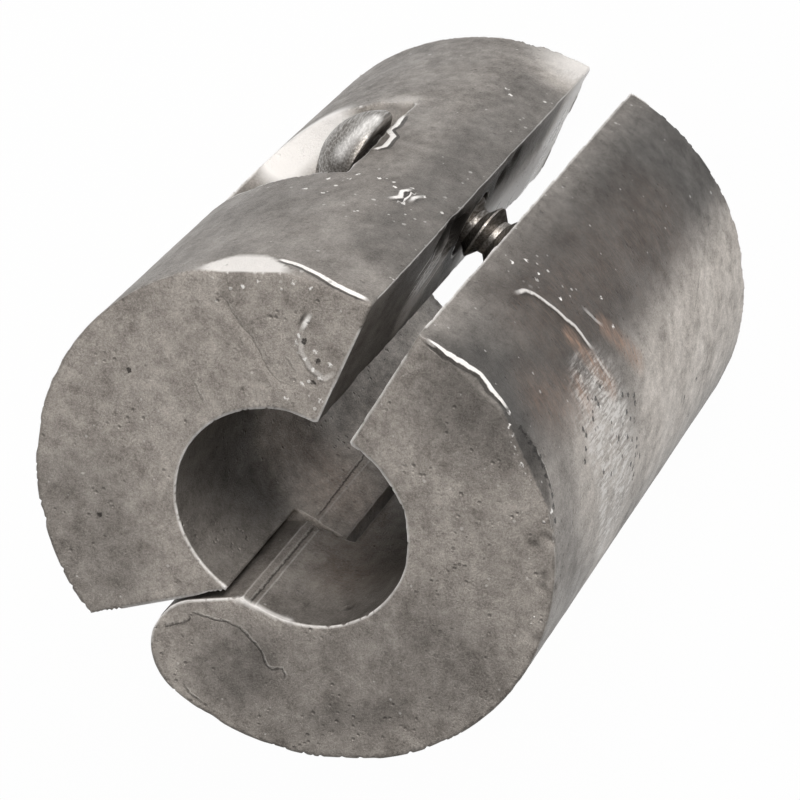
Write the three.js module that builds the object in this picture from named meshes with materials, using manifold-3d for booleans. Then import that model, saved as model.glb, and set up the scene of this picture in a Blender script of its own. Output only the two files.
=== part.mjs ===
// A keepnet weight: two cast lead half shells that swing on an interlocking knuckle,
// drawn together round the net's ring by one round-head wood screw across the slot.
//
// Millimetres, Z up along the bore. The weight stands on its lower end face, with the origin
// in the middle of the bore at that face. The slot opens towards +X, the knuckle lies towards
// -X, and the half that carries the screw's head is on the +Y side.

import * as THREE from 'three'
import { mergeVertices } from 'three/addons/utils/BufferGeometryUtils.js'
import Module from 'manifold-3d'

const wasm = await Module()
wasm.setup()

// driving dimensions of the two castings
const bodyLength = 39.5
const outerRadius = 14
const boreRadius = 6
const arcCentreOffset = 0.62 // from the parting plane to the middle of a casting's outer arc
const boreCentreOffset = 0.22 // and to the middle of its bore
const shutGap = 0.24 // left between the slot's walls with the jaw fully shut
const slotShift = 0.2 // how far the slot lies off the parting plane, on the side of the screw's head
const jawAngle = 6 // how far the jaw stands open as shown, degrees

// the knuckle
const noseInset = 1.259 // lead between the bore and a tongue's round nose
const noseRise = 0.5 // how far a nose's middle lies past the knuckle's axis, into the other half
const faceSlope = 46.8 // slope of the flat that a nose rolls on, degrees from the parting plane
const contactGap = 0.2 // between a nose and its flat
const endTongueLength = 10.3
const tongueSideGap = 0.3 // between neighbouring tongues, along the bore
const tongueSetback = 0.1 // how far a tongue's inner face lies behind the bore's wall

// where the bore's arc stops on a tongue, and where the tongue's inner face stops,
// both measured past the parting plane into the other half
const endTongue = { crease: -0.35, reach: 0.5 }
const middleTongue = { crease: 0.55, reach: 2.4 }
const shelfGap = 0.3 // under the middle tongue when the jaw is at its closing stop
const shelfSlope = 20 // slope of the relief under the middle tongue, degrees

// how far the jaw swings from where it is shown, degrees
const closingSwing = 5
const openingSwing = 8

// the screw: a number 6 round-head wood screw
const screwInset = 3.9 // from the outer edge of the slot in to the screw's axis
const screwDrop = 1.15 // from the middle of the body's length down to the screw's axis
const screwLength = 15.9 // from under the head to the point
const crestRadius = 1.75 // out to the thread's crests
const pointLength = 4.5
const pointRadius = 0.2
const headRadius = 3.4
const headHeight = 2.6
const headRim = 0.35 // height of the upright band below the dome
const driverSlotWidth = 1.0
const driverSlotDepth = 1.3

// how the screw sits in the castings
const seatHeight = 7.2 // floor of the counterbore, above the parting plane
const seatGap = 0.3
const headRoom = 2.95 // round the head in its counterbore
const holeClearance = 0.35 // round the thread, in both castings

const curveSteps = 40
const roundSteps = 40
const screwSteps = 32
const domeSteps = 8
const overrun = 5 // how far a cutting shape runs past what it cuts

const radians = THREE.MathUtils.degToRad

// Turns a three.js geometry into a solid, placed by a matrix.
function solidOf(geometry, matrix = new THREE.Matrix4()) {
  const bare = geometry.clone().applyMatrix4(matrix)
  bare.deleteAttribute('normal')
  bare.deleteAttribute('uv')
  const merged = mergeVertices(bare, 1e-5)
  return new wasm.Manifold(new wasm.Mesh({
    numProp: 3,
    vertProperties: new Float32Array(merged.attributes.position.array),
    triVerts: new Uint32Array(merged.index.array),
  }))
}

function geometryOf(solid) {
  const mesh = solid.getMesh()
  const geometry = new THREE.BufferGeometry()
  geometry.setAttribute('position', new THREE.BufferAttribute(mesh.vertProperties, 3))
  geometry.setIndex(new THREE.BufferAttribute(mesh.triVerts, 1))
  geometry.computeVertexNormals()
  return geometry
}

function placed(x, y, z, turnZ = 0) {
  const matrix = new THREE.Matrix4().makeRotationZ(turnZ)
  return matrix.setPosition(x, y, z)
}

// The screw's axis, with the jaw shut.
const screwX = outerRadius - screwInset
const screwZ = bodyLength / 2 - screwDrop

// The knuckle's axis, and the nose of a casting above the parting plane. The nose touches the
// outer circle from within and leaves its inset to the bore, so the distance of its middle
// from the outer arc's middle and the knuckle's reach add up to the span below.
const arcCentre = new THREE.Vector2(0, arcCentreOffset)
const boreCentre = new THREE.Vector2(0, boreCentreOffset)
const noseDrop = noseRise + arcCentreOffset
const noseSpan = outerRadius + boreRadius + noseInset
const hingeReach = (noseSpan ** 2 - noseDrop ** 2) / (2 * noseSpan)
const noseCentre = new THREE.Vector2(-hingeReach, -noseRise)
const noseRadius = outerRadius - noseCentre.distanceTo(arcCentre)

// Outline of a casting above the parting plane, drawn with the jaw shut: the slot's wall on
// the right at its own height, the outer arc, the tongue with its round nose on the left, and
// the bore.
function castingOutline(tongue, wallY) {
  const boreStart = Math.asin((wallY - boreCentre.y) / boreRadius)
  const outerStart = Math.asin((wallY - arcCentre.y) / outerRadius)
  const noseStart = noseCentre.clone().sub(arcCentre).angle()

  const corner = new THREE.Vector2(-boreRadius - tongueSetback, -tongue.reach)
  const toCorner = corner.clone().sub(noseCentre)
  const noseEnd = toCorner.angle() - Math.acos(noseRadius / toCorner.length())
  const creaseAngle = Math.PI + Math.asin((tongue.crease + boreCentre.y) / boreRadius)

  const outline = new THREE.Shape()
  outline.moveTo(boreRadius * Math.cos(boreStart), wallY)
  outline.absarc(arcCentre.x, arcCentre.y, outerRadius, outerStart, noseStart, false)
  outline.absarc(noseCentre.x, noseCentre.y, noseRadius, noseStart, noseEnd, false)
  outline.lineTo(corner.x, corner.y)
  outline.lineTo(corner.x, -tongue.crease)
  outline.absarc(boreCentre.x, boreCentre.y, boreRadius, creaseAngle, boreStart, true)
  return outline
}

function castingBlank(tongue, wallY) {
  const shape = castingOutline(tongue, wallY)
  const settings = { depth: bodyLength, bevelEnabled: false, curveSegments: curveSteps }
  return solidOf(new THREE.ExtrudeGeometry(shape, settings))
}

// Everything on the knuckle's side of a straight line in the casting's outline, from one
// height to another: the line has a slope and passes a point.
function reliefBeyond(point, slope, bottom, top) {
  const size = 2 * outerRadius
  const block = new THREE.BoxGeometry(size, size, top - bottom)
  const turn = Math.PI - slope
  const across = new THREE.Vector2(-Math.sin(turn), Math.cos(turn))
  const middle = point.clone().addScaledVector(across, size / 2)
  return solidOf(block, placed(middle.x, middle.y, (bottom + top) / 2, turn))
}

// The flat that the other half's nose rolls on.
function noseFlat(bottom, top) {
  const slope = radians(faceSlope)
  const inward = new THREE.Vector2(Math.sin(slope), Math.cos(slope))
  const distance = noseRadius + noseRise * inward.y + contactGap
  const point = new THREE.Vector2(-hingeReach, 0).addScaledVector(inward, distance)
  return reliefBeyond(point, slope, bottom, top)
}

// The shelf under the middle tongue, clear of it when the jaw is at its closing stop.
function tongueShelf(bottom, top) {
  const leftOpen = radians(jawAngle - closingSwing)
  const hinge = new THREE.Vector2(-hingeReach, 0)
  const corner = new THREE.Vector2(-boreRadius - tongueSetback, middleTongue.reach)
  corner.rotateAround(hinge, -leftOpen)
  const slope = radians(shelfSlope)
  const inward = new THREE.Vector2(Math.sin(slope), Math.cos(slope))
  return reliefBeyond(corner.addScaledVector(inward, shelfGap), slope, bottom, top)
}

// The casting that carries the screw's head: one long tongue between two reliefs, a seat
// for the head bored in from outside, and a clear hole for the screw.
function headHalf() {
  const reliefLength = endTongueLength + tongueSideGap
  const seatRadius = headRadius + headRoom
  const seat = new THREE.CylinderGeometry(seatRadius, seatRadius, outerRadius, roundSteps)
  const holeRadius = crestRadius + holeClearance
  const holeLength = seatHeight + 2 * overrun
  const hole = new THREE.CylinderGeometry(holeRadius, holeRadius, holeLength, roundSteps)
  return castingBlank(middleTongue, shutGap / 2 + slotShift)
    .subtract(noseFlat(-overrun, reliefLength))
    .subtract(noseFlat(bodyLength - reliefLength, bodyLength + overrun))
    .subtract(solidOf(seat, placed(screwX, seatHeight + outerRadius / 2, screwZ)))
    .subtract(solidOf(hole, placed(screwX, seatHeight / 2, screwZ)))
}

// The outline of the screw's point and shank, grown by a clearance, from the axis at the tip
// up to a height. The axis is on Y and the seat under the head is at y = 0.
function shankProfile(clearance, top) {
  return [
    new THREE.Vector2(0, -screwLength - clearance),
    new THREE.Vector2(pointRadius + clearance, -screwLength - clearance),
    new THREE.Vector2(crestRadius + clearance, pointLength - screwLength),
    new THREE.Vector2(crestRadius + clearance, top),
  ]
}

// The room that the screw takes up in the threaded half as the jaw swings, seen from that
// half: the screw's own outline turned about the knuckle from one stop to the other.
function screwPath() {
  const top = overrun - seatHeight
  const profile = shankProfile(holeClearance, top)
  profile.push(new THREE.Vector2(0, top))
  const shank = new THREE.LatheGeometry(profile, roundSteps)
  const copies = 4
  const firstTurn = jawAngle - closingSwing
  const lastTurn = jawAngle + openingSwing
  let path = null
  for (let copy = 0; copy < copies; copy += 1) {
    const turn = radians(THREE.MathUtils.lerp(firstTurn, lastTurn, copy / (copies - 1)))
    const matrix = placed(-hingeReach, 0, 0, turn)
    matrix.multiply(placed(hingeReach + screwX, seatHeight + seatGap, screwZ))
    const solid = solidOf(shank, matrix)
    path = path ? path.add(solid) : solid
  }
  return path
}

// The casting that the screw bites into, drawn below the parting plane: a tongue at each
// end and a relief between them for the other half's tongue.
function threadHalf() {
  const flip = new THREE.Matrix4().makeScale(1, -1, 1)
  const bottom = endTongueLength
  const top = bodyLength - endTongueLength
  const upright = castingBlank(endTongue, shutGap / 2 - slotShift)
    .subtract(noseFlat(bottom, top))
    .subtract(tongueShelf(bottom, top))
  return upright.transform(flip.elements).subtract(screwPath())
}

// The screw turned to the outline of its thread's crests, with a domed head and the slot
// for the driver.
function clampScrew() {
  const domeRise = headHeight - headRim
  const domeRadius = (headRadius ** 2 + domeRise ** 2) / (2 * domeRise)
  const domeHalfAngle = Math.asin(headRadius / domeRadius)
  const profile = shankProfile(0, 0)
  profile.push(new THREE.Vector2(headRadius, 0))
  for (let step = 0; step < domeSteps; step += 1) {
    const angle = domeHalfAngle * (1 - step / domeSteps)
    const height = headHeight - domeRadius * (1 - Math.cos(angle))
    profile.push(new THREE.Vector2(domeRadius * Math.sin(angle), height))
  }
  profile.push(new THREE.Vector2(0, headHeight))
  const slotBox = new THREE.BoxGeometry(3 * headRadius, 2 * driverSlotDepth, driverSlotWidth)
  return solidOf(new THREE.LatheGeometry(profile, screwSteps))
    .subtract(solidOf(slotBox, placed(0, headHeight, 0)))
}

function castLead() {
  return new THREE.MeshStandardMaterial({ color: 0x857e77, roughness: 0.55, metalness: 0.6 })
}

function zincPlatedSteel() {
  return new THREE.MeshStandardMaterial({ color: 0xb4b2ad, roughness: 0.3, metalness: 1 })
}

function piece(name, solid, material) {
  const mesh = new THREE.Mesh(geometryOf(solid), material)
  mesh.name = name
  return mesh
}

// A frame that stands on the knuckle's axis and is swung from the shut position.
function swungAboutKnuckle(degrees, ...meshes) {
  const swing = new THREE.Group()
  swing.position.x = -hingeReach
  swing.rotation.z = radians(degrees)
  for (const mesh of meshes) {
    mesh.position.x += hingeReach
    swing.add(mesh)
  }
  return swing
}

const leftHalf = piece('left_half', headHalf(), castLead())
const rightHalf = piece('right_half', threadHalf(), castLead())
const screw = piece('clamp_screw', clampScrew(), zincPlatedSteel())
screw.position.set(screwX, seatHeight + seatGap, screwZ)

const keepnetWeight = new THREE.Group()
keepnetWeight.add(swungAboutKnuckle(jawAngle / 2, leftHalf, screw))
keepnetWeight.add(swungAboutKnuckle(-jawAngle / 2, rightHalf))

export default keepnetWeight
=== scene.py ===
import math

import bmesh
import bpy
import numpy as np
from mathutils import Matrix, Vector, noise


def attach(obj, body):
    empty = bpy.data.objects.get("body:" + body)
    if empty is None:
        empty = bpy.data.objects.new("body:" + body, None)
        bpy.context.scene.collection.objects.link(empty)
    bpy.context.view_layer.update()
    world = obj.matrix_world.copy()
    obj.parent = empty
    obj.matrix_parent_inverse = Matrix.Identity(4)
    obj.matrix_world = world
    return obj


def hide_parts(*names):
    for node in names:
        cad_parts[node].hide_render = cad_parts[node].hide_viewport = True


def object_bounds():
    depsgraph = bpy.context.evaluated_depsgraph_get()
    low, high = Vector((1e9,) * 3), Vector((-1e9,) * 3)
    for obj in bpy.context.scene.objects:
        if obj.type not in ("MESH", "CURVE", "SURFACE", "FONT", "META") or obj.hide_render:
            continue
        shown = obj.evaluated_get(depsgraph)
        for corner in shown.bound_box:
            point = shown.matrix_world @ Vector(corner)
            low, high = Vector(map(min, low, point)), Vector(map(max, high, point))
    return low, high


# A keepnet weight in worn cast lead: two half shells on an interlocking knuckle and
# the wood screw that clamps them. Sizes in the dictionaries are in millimetres.

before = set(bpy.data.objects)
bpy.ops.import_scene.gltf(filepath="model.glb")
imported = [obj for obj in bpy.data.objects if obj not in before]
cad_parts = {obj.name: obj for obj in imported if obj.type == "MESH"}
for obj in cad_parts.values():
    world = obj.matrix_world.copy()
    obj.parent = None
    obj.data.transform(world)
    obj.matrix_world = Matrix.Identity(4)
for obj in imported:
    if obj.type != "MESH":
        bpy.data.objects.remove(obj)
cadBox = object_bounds()
mm = 0.001
bodyTop = 39.5
farAway = 1e9
shortest = 1e-9
fractalDecay = 0.8
fractalStep = 2.1
print("frame loaded", sorted(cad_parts))


def objectFrom(name, bm):
    mesh = bpy.data.meshes.new(name)
    bm.to_mesh(mesh)
    bm.free()
    piece = bpy.data.objects.new(name, mesh)
    bpy.context.scene.collection.objects.link(piece)
    return piece


# Puts the mesh that the modifiers make in place of the object's own.
def applyModifiers(piece):
    graph = bpy.context.evaluated_depsgraph_get()
    made = bpy.data.meshes.new_from_object(piece.evaluated_get(graph))
    piece.modifiers.clear()
    old = piece.data
    piece.data = made
    bpy.data.meshes.remove(old)


def readVectors(items, key):
    flat = np.empty(len(items) * 3, dtype=np.float32)
    items.foreach_get(key, flat)
    return flat.reshape(-1, 3).astype(float)


def vertexArray(mesh):
    return readVectors(mesh.vertices, "co") / mm


def setVertices(mesh, points):
    mesh.vertices.foreach_set("co", (points * mm).astype(np.float32).ravel())
    mesh.update()


# Smooth noise about -1..1 over points, with its broadest features of a size.
def fractalAt(points, size, octaves, seed):
    shift = Vector((seed, -seed, 2 * seed))
    return np.array([
        noise.fractal(Vector(point) / size + shift, fractalDecay, fractalStep, octaves)
        for point in points
    ])


def smoothStep(t):
    t = np.clip(t, 0, 1)
    return t * t * (3 - 2 * t)


# 1 on a line, falling smoothly to 0 at a width from it.
def fade(distance, width):
    return smoothStep(1 - distance / width)


# The vector from the nearest place on a straight stretch to each point, and that place as
# a share of the stretch.
def nearestOnStretch(points, start, end):
    along = end - start
    share = np.clip((points - start) @ along / max(along @ along, shortest), 0, 1)
    return points - (start + share[:, None] * along), share


# Places given without a height lie on the upper end face.
def lifted(places):
    return np.array([place if len(place) > 2 else (*place, bodyTop) for place in places], dtype=float)


# Each point's signed distance to a chain of stretches, how far along the chain it lies, and
# the chain's length. The sign says on which side of the chain a point of the surface is.
def lineField(points, normals, corners):
    corners = lifted(corners)
    best = np.full(len(points), farAway)
    signed = np.full(len(points), farAway)
    passed = np.zeros(len(points))
    walked = 0.0
    for start, end in zip(corners[:-1], corners[1:]):
        away, share = nearestOnStretch(points, start, end)
        length = np.linalg.norm(end - start)
        gap = np.linalg.norm(away, axis=1)
        side = np.sign((np.cross(normals, (end - start) / length) * away).sum(axis=1))
        nearer = gap < best
        best = np.where(nearer, gap, best)
        signed = np.where(nearer, gap * side, signed)
        passed = np.where(nearer, walked + share * length, passed)
        walked += length
    return signed, passed, walked


def lineDistance(points, corners):
    return np.abs(lineField(points, np.ones_like(points), corners)[0])


def addField(mesh, name, values, low=0.0, high=1.0):
    attribute = mesh.attributes.new(name, "FLOAT", "POINT")
    attribute.data.foreach_set("value", np.clip(values, low, high).astype(np.float32))


casting = {
    "voxel": 0.22,  # size of the fine surface's squares
    "weld": 0.0005,
    "edgeSnap": 0.5,  # squares within this share of one from a sharp edge are drawn to it
    "sharpAngle": 35,
    "swells": (9.0, 2),  # size and octaves of the slow waves of the mould, the sandy skin and worn edges
    "ripples": (0.9, 3),
    "bites": (2.2, 3),
    "swell": 0.05,  # and their depths
    "ripple": 0.02,
    "edgeBite": 0.09,
    "edgeBiteReach": 0.45,
    "biteGain": 1.6,
    "rippleSeed": 3,  # added to a casting's own seed
    "biteSeed": 7,
    "ridgeWidth": 0.4,
    "burrSpread": (1.2, 2.6),  # reach of a burr or nick, as a share of its size
    "deepNick": 0.14,
    "middleTone": 0.5,
    "waveTone": 0.04,
    "faceTurn": (0.5, 0.4),  # how upward a surface looks where the end face's painted light sets in, and over what
    "toneCore": 1.5,
    "brightest": 1.5,
    "rimRadius": 12.5,  # past this the bright edge, wear with a painted edge highlight, is thinner, as it is in the bore and by dull flats
    "rimDepth": 1,
    "rimGap": 0.12,
    "boreRadius": 8,
    "boreDepth": 0.4,
    "boreGap": 0.11,
    "dullGap": 0.2,
}

# How creases and ridges end and fade, from the middle of the line outwards.
lineShape = {"reach": 1.5, "endTaper": 0.6, "fadeOut": 0.65, "fadeRate": 4, "strongest": 3}

# How the flats on the rim end and fade.
flatShape = {
    "endShare": 0.4,
    "reach": 2.2,
    "innerRadius": 11,
    "endDrop": 0.25,  # share of the drop that is left at a flat's ends
    "slopeRate": 8,
    "endRate": 3,
    "band": 1.0,
    "underFace": 0.03,
    "dullFrom": 0.2,
}


# A fine dark line of painted shade with a pale lip of painted highlight.
def crease(strength, *places):
    return {"strength": strength, "at": places}


# A painted bright line with a painted shadow, raised by its height or sunk.
def ridge(height, strength, *places):
    return {"height": height, "strength": strength, "at": places}


# A flat worn on the upper end's outer edge, by a depth at the top that runs out over a drop. Its shine
# paints a highlight on the flat, and its tone paints the flat lighter or darker.
def bevel(drop, depth, paintedShine, toneAndPaintedLight, *places):
    return {"drop": drop, "depth": depth, "paintedShine": paintedShine, "toneAndPaintedLight": toneAndPaintedLight, "at": places}


# A soft area along its places, strongest in the middle.
def patch(width, amount, *places):
    return {"width": width, "amount": amount, "at": places}


# Burrs strewn about a place, or nicks where the height is negative.
def bumps(reach, count, size, height, place):
    return {"reach": reach, "count": count, "size": size, "height": height, "at": place}


# A soft groove across the left face, with a faint crease in it.
faceGroove = (
    (9.6, 9), (9.1, 8.2), (8.6, 7.3), (8.4, 6.6), (7.7, 5.6), (7.1, 4.8), (6.9, 4.1), (7.1, 3.3),
)

# Marks of each casting. Painted shines are highlights and scrapes bare fresh metal, beads are bright
# grains and pits dark ones of painted shade, speckles and pitting strew such grains, copper tints, and
# tones paint light, shade and reflection, with some darker tarnish.
leftMarks = {
    "seed": 4,
    "draws": 40,
    "paintedFaceLight": 0.36,
    "creases": [
        crease(0.35, *faceGroove),
        crease(0.6, (8.5, 4.5), (7.9, 3.5)),
        crease(0.35, (4.2, 8.4), (3.7, 7.7), (3.2, 7.1)),
        crease(0.9, (-6, -0.1, 28.6), (-6, 0.2, 18)),
    ],
    "ridges": [
        ridge(0, 2.5, (12.5, 7.4, 38), (12.9, 6.5, 38.2), (13, 6.1, 38.3), (13.2, 5.6, 38.5),
            (13.5, 4.7, 38.8), (13.7, 3.9, 39), (13.8, 3, 39.1), (13.9, 2, 39.1)),
        ridge(-0.09, 0, *faceGroove),
        ridge(0.02, 1.2, (11.6, 4.3), (10.3, 4.3)),
        ridge(0.08, 1.4, (13.3, 5.2, 27.4), (13.5, 4.7, 26.7), (13.4, 4.9, 26), (13.5, 4.5, 25.3)),
        ridge(0.06, 1, (13.6, 4.1, 27), (13.6, 4.1, 26.2), (13.7, 3.7, 25.6)),
        ridge(0.02, 0.35, (10.2, 4.2), (9.3, 3.8), (8.7, 2.9), (8.6, 2), (9.4, 1.6)),
        ridge(0.1, 2.6, (12, 8.1, 21), (12.3, 7.7, 20.4), (12.3, 7.8, 18.6), (12, 8.3, 17.8),
            (12.1, 8.2, 16.6), (12, 8.4, 15)),
        ridge(0, 0.7, (8, 1.3, 24.8), (9.6, 1.4, 21.8)),
        ridge(0, 1.2, (8.6, 1.3, 26.6), (10.2, 1.4, 23.6)),
        ridge(0, 0.9, (8.9, 1.3, 27.8), (11, 1.4, 24)),
        ridge(0, 1.2, (9.4, 1.3, 28.8), (11.4, 1.4, 25.2)),
        ridge(0, 0.8, (10.6, 1.4, 29), (12.2, 1.5, 26.4)),
    ],
    "bevels": [
        bevel(1.9, 0.34, 0.75, 0.2, (9.8, 11.2), (10.8, 10.1), (12, 8.3), (12.8, 6.7), (13.1, 6)),
        bevel(0.8, 0.2, 0, 0.1, (12.4, 7.6), (13, 6.1), (13.5, 4.7), (13.9, 3), (14.1, 1)),
    ],
    # Painted highlights.
    "paintedShines": [
        patch(2.4, 1.6, (4.8, 13.6, 14.4), (6.2, 13.2, 13.1), (7.5, 12.3, 12.7)),
        patch(1.4, 0.3, (10.2, 9.6, 12.3), (11.4, 9, 12.3)),
        patch(4.6, 1.2, (6.8, 1.3, 14), (6.9, 1.3, 4), (12, 1.9, 0.5)),
        patch(1.8, 0.45, (9, 1.3, 27), (10.6, 1.4, 24.2)),
    ],
    "beads": [
        (10, 4.3), (9.5, 4.2), (9, 3.4), (8.7, 2.8), (8.5, 2.2), (9.5, 2.1), (9.7, 3.1), (7.6, 2.9),
        (6.3, 3.3), (7.3, 1.6), (12.7, 5.9), (13, 5), (11.7, 7.7), (10.9, 8.3),
        (11.2, 9.6, 27.4), (11.9, 8.4, 28.1), (11.6, 8.9, 25.8), (12.2, 7.9, 25.7), (12.4, 7.7, 24.9),
        (12.9, 6.5, 25), (13.5, 4.6, 25.2), (13.5, 4.8, 26.6), (13.7, 3.7, 25.6), (13.6, 4.3, 27.3),
        (13.3, 5.4, 25.6), (13.6, 4.2, 8.6), (13.5, 4.6, 7.9),
    ],
    "pits": [
        (9.9, 3.9), (8, 2.4), (9.3, 2.7), (-6.5, 9.4), (2.5, 11.6),
    ],
    "speckles": [
        patch(1.6, 1, (9.2, 4.3), (8.2, 2.2), (6, 2.6)),
        patch(1.3, 1, (12.9, 5.3), (11.7, 7.9), (10.6, 9.4)),
        patch(2.4, 1, (13.6, 4.3, 28.5), (13.1, 6, 25.5)),
        patch(2.4, 1, (13.1, 5.9, 29.4), (11.4, 9.2, 26.5)),
        patch(1.2, 1, (13.9, 2, 36), (13.9, 2, 3)),
    ],
    "pitting": [
        patch(5, 0.25, (2, 10), (9, 6)),
        patch(4, 0.25, (12, 8.2, 33), (12, 8.2, 24)),
    ],
    "scrapes": [
        patch(2.4, 1.8, (8.2, 1.3, 27), (10.2, 1.4, 23.6)),
        patch(3.2, 1.3, (7.3, 1.3, 8.6), (7.9, 1.3, 3.2), (12, 1.7, 2.2)),
    ],
    "copper": [
        patch(6, 0.6, (-5.1, 3.9, 24.6), (-5.9, 2, 24.2), (-6, 0.2, 25)),
    ],
    "bumps": [
        bumps(1.2, 9, 0.24, 0.08, (13.6, 4.3, 27.3)),
        bumps(1.4, 6, 0.2, 0.06, (12.4, 7.4, 25.8)),
        bumps(1.2, 8, 0.22, 0.07, (12.2, 7.9, 18.4)),
        bumps(2, 14, 0.16, -0.05, (8.2, 3.2, 39.4)),
        bumps(1, 6, 0.6, -0.3, (11.2, 1.5, 22.8)),
        bumps(1.4, 6, 0.6, -0.25, (12.9, 1.6, 26)),
        bumps(1, 4, 0.5, -0.2, (12.4, 1.6, 14.8)),
    ],
    # Tone patches: painted light, shade and reflection, with some darker tarnish.
    "tonesAndPaintedLight": [
        patch(5, -0.26, (-9, 8.5), (-6, 11)),
        patch(4, -0.24, (13.8, 2.6, 33), (13.8, 2.6, 2)),
        patch(6, -0.08, (10, 10.9, 34), (10, 10.9, 2)),
        patch(1.8, 0.3, (10.4, 9.6, 12.3), (11.6, 8.9, 12.3)),
        patch(2.6, 0.8, (8.2, 1.3, 27), (10.2, 1.4, 23.6)),
        patch(1.9, -0.9, (12.2, 1.5, 25.6), (11.2, 1.5, 22.4), (8.6, 1.3, 19.6)),
        patch(1.3, -0.6, (11.6, 1.5, 19.5), (12.3, 1.6, 13)),
        patch(4, 0.75, (7.2, 1.3, 9), (7.8, 1.3, 3.3), (13.9, 2.1, 2.1)),
        patch(6, 0.95, (-5.1, 3.9, 24.6), (-6, 0.5, 25)),
        patch(5, -0.08, (-2, 6.5, 36), (-2, 6.5, 16)),
        patch(5, 0.9, (-5.8, 2.5, 17), (-5.7, 2.7, 5)),
        patch(5, 0.07, (13, 6.3, 10.3), (11.6, 8.9, 8.6)),
    ],
}

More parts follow.
